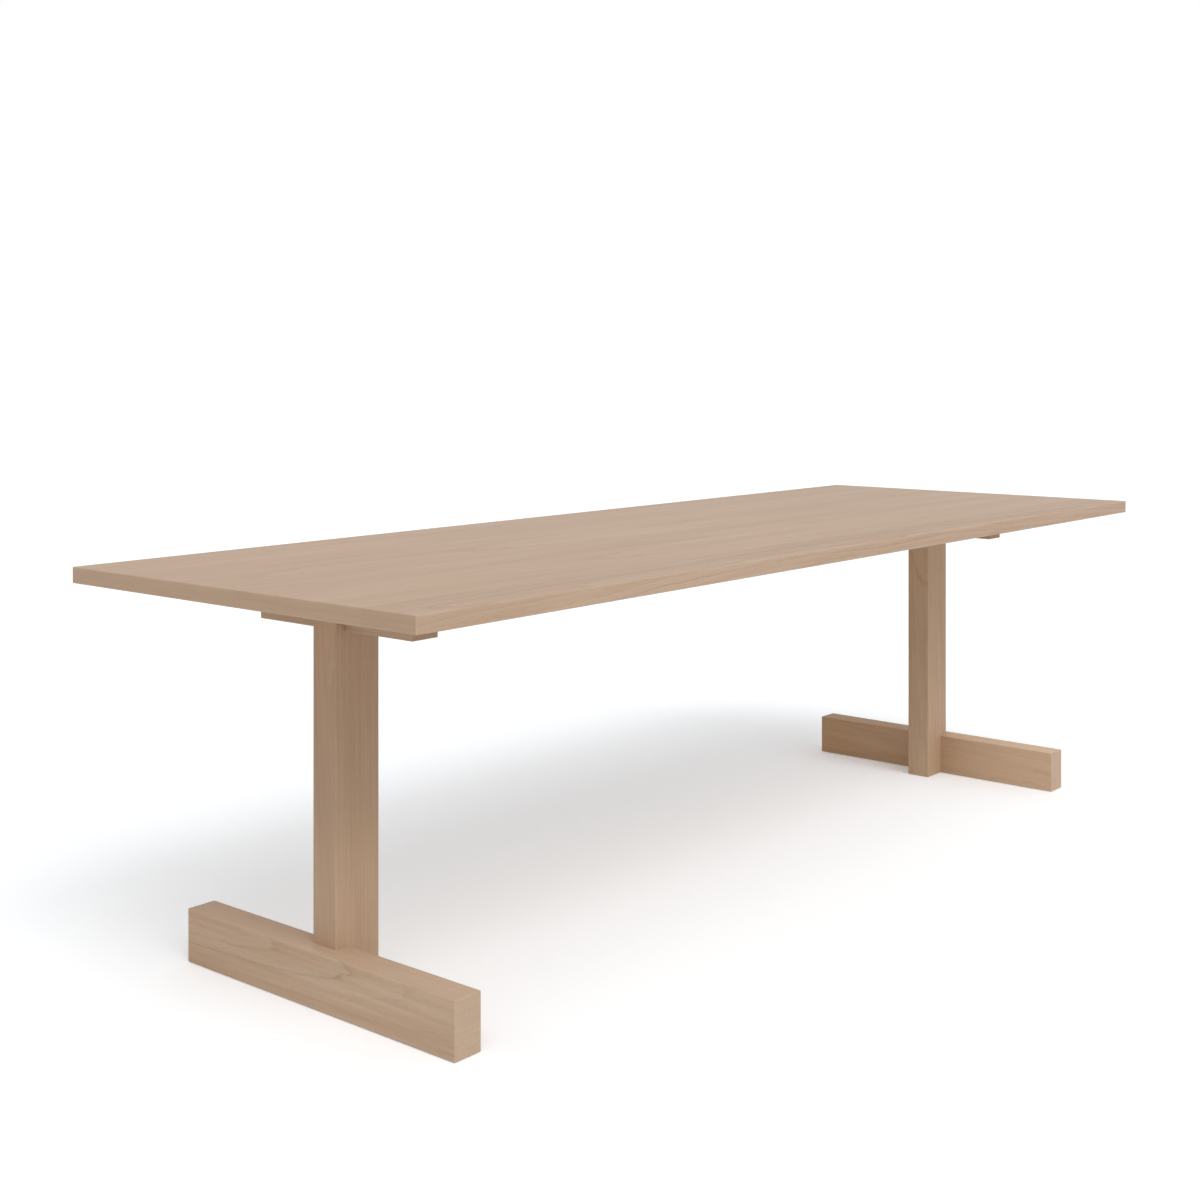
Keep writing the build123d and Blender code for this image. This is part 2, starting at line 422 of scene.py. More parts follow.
def add_node(tree, kind, inputs=(), stops=(), **settings):
    """Add a shader node with its settings and links, and a ramp's stops.

    The inputs come in order, or by name or number. Each is a value, or a socket or node to link
    from. Each stop is a position with a grey level or a colour.
    """
    node = tree.nodes.new("ShaderNode" + kind)
    row, column = divmod(len(tree.nodes), NODES_IN_ROW)
    node.location = (NODE_SPACING[0] * column, -NODE_SPACING[1] * row)
    for name, value in settings.items():
        setattr(node, name, value)
    inputs = inputs if isinstance(inputs, dict) else dict(enumerate(inputs))
    for name, value in inputs.items():
        if isinstance(value, bpy.types.Node):
            value = value.outputs[0]
        if isinstance(value, bpy.types.NodeSocket):
            tree.links.new(value, node.inputs[name])
        else:
            node.inputs[name].default_value = value
    if stops:
        elements = node.color_ramp.elements
        while len(elements) < len(stops):
            elements.new(0.5)
        for element, (position, level) in zip(elements, stops):
            element.position = position
            element.color = (*level, 1) if isinstance(level, tuple) else (level, level, level, 1)
    return node


def opaque(colour, factor=1.0):
    """A linear colour made this much lighter or darker, with the alpha that a socket wants."""
    return (*(min(1.0, factor * c) for c in colour), 1)


def new_group(name, inputs, outputs):
    """A new node group with these sockets, its input node's sockets and its output node's."""
    tree = bpy.data.node_groups.new(name, "ShaderNodeTree")
    for direction, sockets in (("INPUT", inputs), ("OUTPUT", outputs)):
        for label, kind in sockets.items():
            tree.interface.new_socket(label, in_out=direction, socket_type="NodeSocket" + kind)
    return tree, tree.nodes.new("NodeGroupInput").outputs, tree.nodes.new("NodeGroupOutput").inputs


def new_material(name):
    """A new material, its node tree and its shader."""
    material = bpy.data.materials.new(name)
    material.use_nodes = True
    return material, material.node_tree, material.node_tree.nodes["Principled BSDF"]


# --- Finishes -----------------------------------------------------------------------------------

# What the figure has in common in all the timber
WAVER = 0.4  # how far the rings waver from side to side, in rings
YEARS_RHYTHM = 0.55  # how quickly fat years give way to thin ones, as features in a year
UNEVENNESS = 3.0  # how much further the years stray than that noise alone would take them
GOLDEN_SECTION = 0.618  # steps of this spread good and poor years evenly
VIGOUR_CURVE = 1.6  # above 1, few years have strong rings and many have faint ones
WEAKEST_RING = 0.18  # strength of the ring line that ends the poorest year
FAINTEST_LINE = 0.45  # what is left of a ring line where it fades out along the log
QUIET_LINE = 0.3  # what is left of a ring line outside the clear years
QUIET_AFTER = 0.7  # how many years it takes for the lines to grow that faint
LONE_PORES = 0.2  # strength of the pores that stand outside the ring lines
DRIFT = 1.7  # strength of the slow drift of colour
YEAR_TONE = 0.25  # how much paler the wood of good years is
BANDS = 1.2  # strength of the bands along the fibres
THREADS = 1.1  # strength of the finest streaks along the fibres
COARSE = 0.62  # share of the coarser streaks in those, against the finer ones
LATE_WOOD = 0.5  # strength of the grey late wood
PORES = 0.45  # strength of the colour in the pores
FIBRE_HEIGHT = 0.5  # how far the fibres stand up, against the depth of the pores
LINE_DEPTH = 0.35  # how far the ring lines sink in, against the depth of the pores
LINE_OPENNESS = 0.6  # how much more open the wood is at a ring line

# Strength over one year of growth of the ring line and of the late wood. Each ring starts with
# a sharp line of open pores, fades into plain wood and ends greyer.
RING_LINE_STOPS = (
    (0, 0.9),
    (0.03, 1),
    (0.09, 0.42),
    (0.2, 0.14),
    (0.45, 0.03),
    (0.94, 0),
    (0.985, 0.3),
    (1, 0.9),
)
LATE_WOOD_STOPS = ((0, 0.3), (0.03, 0), (0.6, 0.03), (0.82, 0.75), (0.97, 1), (1, 0.3))


def log_figure():
    """The figure that a log shows on any face sawn from it, as one group for all the timber."""
    name = "Log figure"
    if name in bpy.data.node_groups:
        return bpy.data.node_groups[name]
    tree, given, result = new_group(
        name,
        {
            "Place in log": "Vector",
            "Bow": "Vector",
            "Seed": "Float",
            "First ring": "Float",
            "Ring width": "Float",
            "Wander": "Float",
            "Uneven years": "Float",
            "Clear from": "Float",
            "Clear to": "Float",
            "Ring strength": "Float",
            "Streaks": "Float",
            "Pale": "Color",
            "Brown": "Color",
            "Late wood": "Color",
            "Ring line": "Color",
            "Pore": "Color",
        },
        {"Colour": "Color", "Height": "Float", "Closeness": "Float"},
    )
    add = partial(add_node, tree)

    place = given["Place in log"]
    seeded = add("VectorMath", (place, given["Seed"]), operation="ADD")
    # Noises, with how many features each has in a metre along the log and across it
    noises = {}
    for label, along, across, detail in (
        # Rings wander over a forearm's length, and waver over a finger's width, which turns the
        # tips of the tongues into small flames
        ("wander", 1.3, 6, 1),
        ("waver", 22, 90, 2),
        # The lines fade in and out, and the colour drifts, over a hand's width or more
        ("fading", 2.2, 9, 1),
        ("drift", 1.2, 13, 2),
        # Bands 8 mm wide, and fibre streaks drawn 2.5 mm and 0.7 mm wide, as real fibres are too
        # fine to show
        ("bands", 3.2, 125, 1),
        ("coarse", 7, 400, 3),
        ("fine", 26, 1500, 2),
        # Pores as dashes 0.9 mm wide, about three times life size
        ("dashes", 70, 1100, 0),
    ):
        stretched = add("VectorMath", (seeded, (along, across, across)), operation="MULTIPLY")
        noises[label] = add("TexNoise", {"Vector": stretched, "Scale": 1.0, "Detail": detail})

    # Where the point lies from the heart, once the bow, the wander and the waver are undone
    along = add("SeparateXYZ", (place,))
    bend = add("Math", (along, along), operation="MULTIPLY")
    bend = add("VectorMath", {0: given["Bow"], "Scale": bend}, operation="SCALE")
    straight = add("VectorMath", (place, bend), operation="SUBTRACT")
    half = (0.5, 0.5, 0.5)
    wander = add("VectorMath", (noises["wander"].outputs["Color"], half), operation="SUBTRACT")
    wander = add("VectorMath", {0: wander, "Scale": given["Wander"]}, operation="SCALE")
    waver = add("VectorMath", (noises["waver"].outputs["Color"], half), operation="SUBTRACT")
    wavering = add("Math", (given["Ring width"], WAVER), operation="MULTIPLY")
    waver = add("VectorMath", {0: waver, "Scale": wavering}, operation="SCALE")
    ringed = add("VectorMath", (straight, wander), operation="ADD")
    ringed = add("VectorMath", (ringed, waver), operation="ADD")
    ringed = add("VectorMath", (ringed, (0, 1, 1)), operation="MULTIPLY")
    radius = add("VectorMath", (ringed,), operation="LENGTH").outputs["Value"]

    # Years out from the first ring, some fatter than others
    years = add("Math", (radius, given["First ring"]), operation="SUBTRACT")
    years = add("Math", (years, given["Ring width"]), operation="DIVIDE")
    rhythm = add(
        "TexNoise", {"W": years, "Scale": YEARS_RHYTHM, "Detail": 1.0}, noise_dimensions="1D"
    )
    uneven = add("Math", (rhythm, 0.5), operation="SUBTRACT")
    uneven = add("Math", (uneven, given["Uneven years"]), operation="MULTIPLY")
    years = add("Math", (uneven, UNEVENNESS, years), operation="MULTIPLY_ADD")
    year = add("Math", (years,), operation="FLOOR")
    season = add("Math", (years,), operation="FRACT")

    line = add("ValToRGB", (season,), RING_LINE_STOPS)
    late = add("ValToRGB", (season,), LATE_WOOD_STOPS)
    vigour = add("Math", (year, GOLDEN_SECTION, given["Seed"]), operation="MULTIPLY_ADD")
    vigour = add("Math", (vigour,), operation="FRACT")
    strength = add("Math", (vigour, VIGOUR_CURVE), operation="POWER")
    gain = 1 - WEAKEST_RING
    strength = add("Math", (strength, gain, WEAKEST_RING), operation="MULTIPLY_ADD")
    # Rings grow faint outside the clear years
    before = add("Math", (given["Clear from"], years), operation="SUBTRACT")
    after = add("Math", (years, given["Clear to"]), operation="SUBTRACT")
    outside = add("Math", (before, after), operation="MAXIMUM")
    quiet = add("MapRange", (outside, 0.0, QUIET_AFTER, 1.0, QUIET_LINE))
    fading = add("MapRange", (noises["fading"], 0.3, 0.7, FAINTEST_LINE, 1.0))
    fading = add("Math", (fading, quiet), operation="MULTIPLY")
    line = add("Math", (line, strength), operation="MULTIPLY")
    line = add("Math", (line, fading), operation="MULTIPLY")

    coarse = add("Math", (noises["coarse"], COARSE), operation="MULTIPLY")
    fine = add("Math", (noises["fine"], 1 - COARSE), operation="MULTIPLY")
    fibre = add("Math", (coarse, fine), operation="ADD")

    # Pores crowd into the ring lines
    dashes = add("MapRange", (noises["dashes"], 0.6, 0.72, 0.0, 1.0))
    crowding = add("Math", (line, 1 - LONE_PORES, LONE_PORES), operation="MULTIPLY_ADD")
    pores = add("Math", (dashes, crowding), operation="MULTIPLY")

    # Slow drifts of colour along the log and from one year to the next, with streaks on them
    shade = add("Math", (noises["drift"], 0.5), operation="SUBTRACT")
    shade = add("Math", (shade, DRIFT), operation="MULTIPLY")
    shade = add("Math", (shade, 0.5), operation="ADD")
    good_year = add("Math", (vigour, 0.5), operation="SUBTRACT")
    share = add("Math", (quiet, YEAR_TONE), operation="MULTIPLY")
    shade = add("Math", (good_year, share, shade), operation="MULTIPLY_ADD")
    bands = add("Math", (noises["bands"], 0.5), operation="SUBTRACT")
    threads = add("Math", (fibre, THREADS, -THREADS / 2), operation="MULTIPLY_ADD")
    streaks = add("Math", (bands, BANDS, threads), operation="MULTIPLY_ADD")
    shade = add("Math", (streaks, given["Streaks"], shade), operation="MULTIPLY_ADD", use_clamp=True)

    greyed = add("Math", (fading, LATE_WOOD), operation="MULTIPLY")
    greyed = add("Math", (late, greyed), operation="MULTIPLY")
    lined = add("Math", (line, given["Ring strength"]), operation="MULTIPLY")
    pored = add("Math", (pores, PORES), operation="MULTIPLY")
    colour = given["Brown"]
    for factor, layer in (
        (shade, "Pale"),
        (greyed, "Late wood"),
        (lined, "Ring line"),
        (pored, "Pore"),
    ):
        layers = {FACTOR: factor, UNDER: colour, OVER: given[layer]}
        colour = add("Mix", layers, data_type="RGBA").outputs[MIXED]

    height = add("Math", (fibre, FIBRE_HEIGHT), operation="MULTIPLY")
    height = add("Math", (height, pores), operation="SUBTRACT")
    height = add("Math", (line, -LINE_DEPTH, height), operation="MULTIPLY_ADD")
    closeness = add("Math", (line, -LINE_OPENNESS, fibre), operation="MULTIPLY_ADD")
    tree.links.new(colour, result["Colour"])
    tree.links.new(height.outputs[0], result["Height"])
    tree.links.new(closeness.outputs[0], result["Closeness"])
    return tree


def arris_distance():
    """How far a point lies in from the nearest arris of a box, as a group."""
    name = "Arris distance"
    if name in bpy.data.node_groups:
        return bpy.data.node_groups[name]
    tree, given, result = new_group(
        name,
        {"Place": "Vector", "Middle": "Vector", "Half size": "Vector"},
        {"Distance": "Float"},
    )
    add = partial(add_node, tree)
    offset = add("VectorMath", (given["Place"], given["Middle"]), operation="SUBTRACT")
    offset = add("VectorMath", (offset,), operation="ABSOLUTE")
    inward = add("VectorMath", (given["Half size"], offset), operation="SUBTRACT")
    x, y, z = add("SeparateXYZ", (inward,)).outputs
    # A point on a face is at 0 from that face, so the second smallest distance is the arris
    nearer = add("Math", (x, y), operation="MINIMUM")
    farther = add("Math", (x, y), operation="MAXIMUM")
    middle = add("Math", (farther, z), operation="MINIMUM")
    second = add("Math", (nearer, middle), operation="MAXIMUM")
    tree.links.new(second.outputs[0], result["Distance"])
    return tree


# How use and upkeep show on the timber
LIT_AND_SCUFFED_TONE = 1.12  # upward faces painted lighter, partly as scuffs and partly as painted light, against the pale wood
RUBBED_TONE = 1.1  # rubbed arrises against the pale wood
RUBBED = 0.25  # how fully the rubbing shows right on an arris
RUB_REACH = (0.35, 1.3)  # least and most reach of the rubbing, against its usual width
END_GRAIN = 0.78  # how fully the colour of the end grain covers the figure
SANDED_TONE = 0.78  # the sanding streaks against the rest of the end grain
SANDING_STREAKS = 0.3  # how fully those streaks show
GLUE_TONE = 0.9  # glue lines against the ring lines
GLUE_LINE = 0.45  # how fully the glue lines show
GLUE_EDGES = (0.0002, 0.0012)  # from the middle of a glue line to where it starts and ends fading
GLUE_OPENNESS = 0.85  # of the glue lines, which the cover of the end grain is taken off
HARDWOOD_ROUGHNESS = (0.66, 0.54)  # along the open ring lines, and where the wood is closest
RUBBED_ROUGHNESS = -0.06  # what rubbing adds to the roughness
END_GRAIN_ROUGHNESS = 0.15  # what end grain adds to the roughness


def oiled_hardwood(label, timber, low, high, settings, joints=(), trodden=0.0):
    """Oiled hardwood, planed, sanded and wiped with hard-wax oil.

    The oil leaves the pores open, so the sheen is low and broken along the ring lines. The
    arrises between low and high are rubbed paler and a little smoother, and end grain is darker
    and duller. The joints are the places across the top where boards meet. The last argument is how
    much the upward faces are painted lighter, partly as scuffs from shoes and partly as painted
    light, and the tinting along each piece carries painted light and shade too.
    """
    material, tree, shader = new_material(f"Oiled hardwood, planed and sanded: {label}")
    add = partial(add_node, tree)

    def figured(colour, contrast=timber.contrast):
        """A colour of the figure, drawn towards plain wood where the figure is faint."""
        plain = [(a + b) / 2 for a, b in zip(settings.pale, settings.brown)]
        return (*(p + contrast * (c - p) for c, p in zip(colour, plain)), 1)

    place = add("TexCoord")
    spot = place.outputs["Object"]
    normal = place.outputs["Normal"]
    grain = Vector(timber.grain).normalized()
    in_log = add(
        "Mapping",
        {
            "Vector": spot,
            "Location": timber.heart,
            "Rotation": grain.to_track_quat("X", "Z").to_euler(),
        },
        vector_type="TEXTURE",
    )
    streaked = (1 + timber.contrast) / 2
    figure = add(
        "Group",
        {
            "Place in log": in_log,
            "Bow": (0, *timber.bow),
            "Seed": timber.seed,
            "First ring": timber.first_ring,
            "Ring width": timber.ring_width,
            "Wander": timber.wander,
            "Uneven years": timber.uneven,
            "Ring strength": settings.ring_strength,
            "Streaks": timber.streaks,
            "Clear from": timber.clear_years[0],
            "Clear to": timber.clear_years[1],
            "Pale": figured(settings.pale, streaked),
            "Brown": figured(settings.brown, streaked),
            "Late wood": figured(settings.late_wood),
            "Ring line": figured(settings.ring_line),
            "Pore": figured(settings.pore),
        },
        node_tree=log_figure(),
    )
    colour = figure.outputs["Colour"]

    if trodden:
        # Upward faces painted lighter, partly as scuffs from shoes and partly as painted light where
        # light falls on them, in patches about 70 mm across
        scuffs = add("TexNoise", {"Vector": spot, "Scale": 14.0, "Detail": 3.0})
        scuffs = add("MapRange", (scuffs, 0.2, 0.7, 0.6, 1), interpolation_type="SMOOTHSTEP")
        upward = add("SeparateXYZ", (normal,)).outputs["Z"]
        upward = add("MapRange", (upward, 0.6, 0.95, 0, 1), interpolation_type="SMOOTHSTEP")
        scuffed = add("Math", (upward, scuffs), operation="MULTIPLY")
        scuffed = add("Math", (scuffed, trodden), operation="MULTIPLY")
        layers = {FACTOR: scuffed, UNDER: colour, OVER: opaque(settings.pale, LIT_AND_SCUFFED_TONE)}
        colour = add("Mix", layers, data_type="RGBA").outputs[MIXED]

    # Tinting along the piece: painted light and shade on the feet and posts, and a cooler right end
    # on the boards
    long_axis = max(range(3), key=lambda axis: abs(grain[axis]))
    reached = add("SeparateXYZ", (spot,)).outputs[long_axis]
    reached = add("MapRange", (reached, low[long_axis], high[long_axis]))
    steps = len(timber.tints_and_painted_shade) - 1
    tint_and_shade_ramp = add("ValToRGB", (reached,), [(i / steps, tint) for i, tint in enumerate(timber.tints_and_painted_shade)])
    tint_and_shade_ramp.color_ramp.interpolation = "EASE"
    layers = {FACTOR: 1.0, UNDER: colour, OVER: tint_and_shade_ramp}
    colour = add("Mix", layers, data_type="RGBA", blend_type="MULTIPLY").outputs[MIXED]

    # End grain drinks more oil and scatters the light
    ends = linear(timber.end_grain)
    facing = add("VectorMath", (normal, grain), operation="DOT_PRODUCT").outputs["Value"]
    facing = add("Math", (facing,), operation="ABSOLUTE")
    end_grain = add(
        "MapRange", (facing, 0.5, 0.9, 0.0, END_GRAIN), interpolation_type="SMOOTHSTEP"
    )
    layers = {FACTOR: end_grain, UNDER: colour, OVER: opaque(ends)}
    colour = add("Mix", layers, data_type="RGBA").outputs[MIXED]
    # Sanding has left streaks 3 mm apart across the end grain, level with the floor
    sanding = add("VectorMath", (spot, (9, 9, 330)), operation="MULTIPLY")
    sanding = add("TexNoise", {"Vector": sanding, "Scale": 1.0, "Detail": 2.0})
    sanding = add(
        "MapRange", (sanding, 0.35, 0.65, 0.0, SANDING_STREAKS), interpolation_type="SMOOTHSTEP"
    )
    streak = add("Math", (sanding, end_grain), operation="MULTIPLY")
    layers = {FACTOR: streak, UNDER: colour, OVER: opaque(ends, SANDED_TONE)}
    colour = add("Mix", layers, data_type="RGBA").outputs[MIXED]

    # Arrises rubbed by hands and dusting cloths, more in some places than in others
    arris = add(
        "Group",
        {"Place": spot, "Middle": (low + high) / 2, "Half size": (high - low) / 2},
        node_tree=arris_distance(),
    )
    patches = add("TexNoise", {"Vector": spot, "Scale": 9.0, "Detail": 3.0})
    least, most = (reach * settings.rub_width for reach in RUB_REACH)
    reach = add("MapRange", (patches, 0.3, 0.7, least, most), interpolation_type="SMOOTHSTEP")
    nearness = add("Math", (arris, reach), operation="DIVIDE")
    nearness = add("Math", (1.0, nearness), operation="SUBTRACT", use_clamp=True)
    rubbed = add("Math", (nearness, RUBBED), operation="MULTIPLY")
    layers = {FACTOR: rubbed, UNDER: colour, OVER: opaque(settings.pale, RUBBED_TONE)}
    colour = add("Mix", layers, data_type="RGBA").outputs[MIXED]

    # Fine glue lines, drawn 1.4 mm wide, which the sanding has all but closed at the ends
    across = add("SeparateXYZ", (spot,)).outputs["Y"]
    glue_colour = opaque(settings.ring_line, GLUE_TONE)
    for joint in joints:
        gap = add("Math", (across, joint), operation="SUBTRACT")
        gap = add("Math", (gap,), operation="ABSOLUTE")
        glue = add(
            "MapRange", (gap, *GLUE_EDGES, GLUE_LINE, 0.0), interpolation_type="SMOOTHSTEP"
        )
        open_side = add("Math", (GLUE_OPENNESS, end_grain), operation="SUBTRACT")
        glue = add("Math", (glue, open_side), operation="MULTIPLY")
        layers = {FACTOR: glue, UNDER: colour, OVER: glue_colour}
        colour = add("Mix", layers, data_type="RGBA").outputs[MIXED]

    roughness = add("MapRange", (figure.outputs["Closeness"], 0.1, 0.7, *HARDWOOD_ROUGHNESS))
    for cover, change in ((nearness, RUBBED_ROUGHNESS), (end_grain, END_GRAIN_ROUGHNESS)):
        roughness = add("Math", (cover, change, roughness), operation="MULTIPLY_ADD")
    relief = {"Height": figure.outputs["Height"], "Distance": settings.bump_height, "Strength": 0.7}
    bump = add("Bump", relief)
    tree.links.new(colour, shader.inputs["Base Color"])
    tree.links.new(roughness.outputs[0], shader.inputs["Roughness"])
    tree.links.new(bump.outputs[0], shader.inputs["Normal"])
    shader.inputs["IOR"].default_value = 1.5
    shader.inputs["Specular IOR Level"].default_value = timber.gloss
    return material


def beech(label, grain, settings):
    """Beech, turned or planed and left bare: pale and even, with short dark flecks along it."""
    material, tree, shader = new_material(f"Beech, {label}")
    add = partial(add_node, tree)
    along = add(
        "Mapping",
        {
            "Vector": add("TexCoord").outputs["Object"],
            "Rotation": Vector(grain).to_track_quat("X", "Z").to_euler(),
            # Streaks 1.2 mm wide and flecks 3 mm long
            "Scale": (0.03, 0.0012, 0.0012),
        },
        vector_type="TEXTURE",
    )
    streaks = add("TexNoise", {"Vector": along, "Scale": 1.0, "Detail": 3.0})
    flecks = add("TexVoronoi", {"Vector": along, "Scale": 2.2})
    fleck = add("MapRange", (flecks, 0.12, 0.3, 0.5, 0.0))
    pale = opaque(settings.beech, 1.12)
    layers = {FACTOR: streaks, UNDER: opaque(settings.beech, 0.82), OVER: pale}
    bare = add("Mix", layers, data_type="RGBA").outputs[MIXED]
    layers = {FACTOR: fleck, UNDER: bare, OVER: opaque(settings.beech, 0.5)}
    flecked = add("Mix", layers, data_type="RGBA").outputs[MIXED]
    roughness = add("MapRange", {"Value": streaks, "To Min": 0.6, "To Max": 0.75})
    bump = add("Bump", {"Height": streaks, "Distance": 0.0001})
    tree.links.new(flecked, shader.inputs["Base Color"])
    tree.links.new(roughness.outputs[0], shader.inputs["Roughness"])
    tree.links.new(bump.outputs[0], shader.inputs["Normal"])
    return material


def zinc_plated_steel(settings):
    """Steel with bright zinc plating: silver with a cool cloudy bloom, and fine plating grain."""
    material, tree, shader = new_material("Steel, bright zinc plated")
    add = partial(add_node, tree)
    place = add("TexCoord").outputs["Object"]
    # Cloudy bloom a few millimetres across, and plating grain of half a millimetre
    bloom = add("TexNoise", {"Vector": place, "Scale": 260.0, "Detail": 3.0})
    crystals = add("TexNoise", {"Vector": place, "Scale": 2000.0, "Detail": 1.0})
    bright = opaque(settings.zinc, 1.2)
    layers = {FACTOR: bloom, UNDER: opaque(settings.zinc, 0.72), OVER: bright}
    colour = add("Mix", layers, data_type="RGBA").outputs[MIXED]
    roughness = add("MapRange", (bloom, 0.3, 0.7, 0.24, 0.42))
    bump = add("Bump", {"Height": crystals, "Distance": 0.00003, "Strength": 0.5})
    tree.links.new(colour, shader.inputs["Base Color"])
    tree.links.new(roughness.outputs[0], shader.inputs["Roughness"])
    tree.links.new(bump.outputs[0], shader.inputs["Normal"])
    shader.inputs["Metallic"].default_value = 1.0
    return material


def powder_coated_steel(settings):
    """Steel with a satin powder coat: near black, with the soft ripple of melted powder."""
    material, tree, shader = new_material("Steel, satin powder coated")
    add = partial(add_node, tree)
    place = add("TexCoord").outputs["Object"]
    # Ripple 1.5 mm across, and dust and handling marks a hand's width apart
    ripple = add("TexNoise", {"Vector": place, "Scale": 700.0, "Detail": 1.0})
    dust = add("TexNoise", {"Vector": place, "Scale": 14.0, "Detail": 5.0})
    film = add("MapRange", (dust, 0.4, 0.75, 0.0, 0.3))
    grey_dust = opaque(linear("5A5754"))
    layers = {FACTOR: film, UNDER: opaque(settings.powder_coat), OVER: grey_dust}
    colour = add("Mix", layers, data_type="RGBA").outputs[MIXED]
    roughness = add("MapRange", (dust, 0.3, 0.7, 0.42, 0.6))
    bump = add("Bump", {"Height": ripple, "Distance": 0.00008, "Strength": 0.6})
    tree.links.new(colour, shader.inputs["Base Color"])
    tree.links.new(roughness.outputs[0], shader.inputs["Roughness"])
    tree.links.new(bump.outputs[0], shader.inputs["Normal"])
    return material


def moulded_nylon(settings):
    """Nylon, moulded: milky off-white with a dull skin, greyed and scuffed where it slides."""
    material, tree, shader = new_material("Nylon, moulded")
    add = partial(add_node, tree)
    place = add("TexCoord").outputs["Object"]
    # Scuffs of about 4 mm, and the fine spark texture of the mould
    scuffs = add("TexNoise", {"Vector": place, "Scale": 240.0, "Detail": 4.0})
    skin = add("TexNoise", {"Vector": place, "Scale": 1800.0, "Detail": 1.0})
    worn = add("MapRange", (scuffs, 0.45, 0.7, 0.0, 0.6))
    scuffed = opaque(linear("A39C8E"))
    layers = {FACTOR: worn, UNDER: opaque(settings.nylon), OVER: scuffed}
    colour = add("Mix", layers, data_type="RGBA").outputs[MIXED]
    roughness = add("MapRange", (scuffs, 0.3, 0.7, 0.42, 0.65))
    bump = add("Bump", {"Height": skin, "Distance": 0.00004, "Strength": 0.5})
    tree.links.new(colour, shader.inputs["Base Color"])
    tree.links.new(roughness.outputs[0], shader.inputs["Roughness"])
    tree.links.new(bump.outputs[0], shader.inputs["Normal"])
    shader.inputs["IOR"].default_value = 1.53
    return material


def finish_node(name, material):
    """Put one finish on every slot of a piece of the table."""
    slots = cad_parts[name].material_slots
    if not slots:
        raise RuntimeError(f"{name} has no material slot")
    for slot in slots:
        slot.material = material


def finish_pair(kind, settings, **wear_and_painted_light):
    """Finish the left and the right piece of one kind in oiled hardwood."""
    for side in SIDES:
        name = f"{side}_{kind}"
        finish_node(name, oiled_hardwood(name, TIMBERS[name], *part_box(name), settings, **wear_and_painted_light))


# --- Operators ----------------------------------------------------------------------------------


class TABLE_OT_top_boards(bpy.types.Operator):
    """Finish the four boards of the top, with rubbed arrises round the whole of it"""

    bl_idname = "communion_table.top_boards"
    bl_label = "Top boards"

    def execute(self, context):
        settings = context.scene.table_timber
        corners = [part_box(board) for board in BOARDS]
        low = Vector(min(c[0][i] for c in corners) for i in range(3))
        high = Vector(max(c[1][i] for c in corners) for i in range(3))
        inside = 0.001  # metres in from the front and back edges of the top, which aren't joints
        for board, (front, back) in zip(BOARDS, corners):
            joints = [y for y in (front.y, back.y) if low.y + inside < y < high.y - inside]
            finish_node(board, oiled_hardwood(board, TIMBERS[board], low, high, settings, joints))
        return {"FINISHED"}


class TABLE_OT_feet(bpy.types.Operator):
    """Finish the two feet, with their upper faces painted lighter, partly as scuffs from shoes and
    partly as painted light
    """

    bl_idname = "communion_table.feet"
    bl_label = "Feet"

    def execute(self, context):
        # The upper faces of the feet are painted lighter: painted light, and scuffs
        finish_pair("foot", context.scene.table_timber, trodden=0.6)
        return {"FINISHED"}


class TABLE_OT_posts(bpy.types.Operator):
    """Finish the two posts"""

    bl_idname = "communion_table.posts"
    bl_label = "Posts"

    def execute(self, context):
        finish_pair("post", context.scene.table_timber)
        return {"FINISHED"}


class TABLE_OT_bearers(bpy.types.Operator):
    """Finish the two bearers under the top"""

    bl_idname = "communion_table.bearers"
    bl_label = "Bearers"

    def execute(self, context):
        finish_pair("bearer", context.scene.table_timber)
        return {"FINISHED"}


class TABLE_OT_joinery(bpy.types.Operator):
    """Finish the dowels, and the tongues between the boards"""

    bl_idname = "communion_table.joinery"
    bl_label = "Dowels and tongues"

    def execute(self, context):
        settings = context.scene.table_fittings
        finish_node("top_tongues", beech("planed", (1, 0, 0), settings))
        across = beech("turned, lying", (1, 0, 0), settings)
        upright = beech("turned, upright", (0, 0, 1), settings)
        for side in SIDES:
            finish_node(f"{side}_foot_dowels", across)
            finish_node(f"{side}_bearer_dowels", upright)
        return {"FINISHED"}


class TABLE_OT_fixings(bpy.types.Operator):
    """Finish the bolts, washers, threaded inserts and screws"""

    bl_idname = "communion_table.fixings"
    bl_label = "Bolts and screws"

    def execute(self, context):
        material = zinc_plated_steel(context.scene.table_fittings)
        finish_node("stiffener_screws", material)
        for side in SIDES:
            for fixing in ("top_bolts", "bolt_washers", "top_inserts"):
                finish_node(f"{side}_{fixing}", material)
        return {"FINISHED"}


class TABLE_OT_channels(bpy.types.Operator):
    """Finish the steel channels that keep the top flat"""

    bl_idname = "communion_table.channels"
    bl_label = "Channels"

    def execute(self, context):
        material = powder_coated_steel(context.scene.table_fittings)
        for name in STIFFENERS:
            finish_node(name, material)
        return {"FINISHED"}


class TABLE_OT_glides(bpy.types.Operator):
    """Finish the glides under the feet and posts"""

    bl_idname = "communion_table.glides"
    bl_label = "Floor glides"

    def execute(self, context):
        material = moulded_nylon(context.scene.table_fittings)
        for side in SIDES:
            finish_node(f"{side}_floor_glides", material)
        return {"FINISHED"}


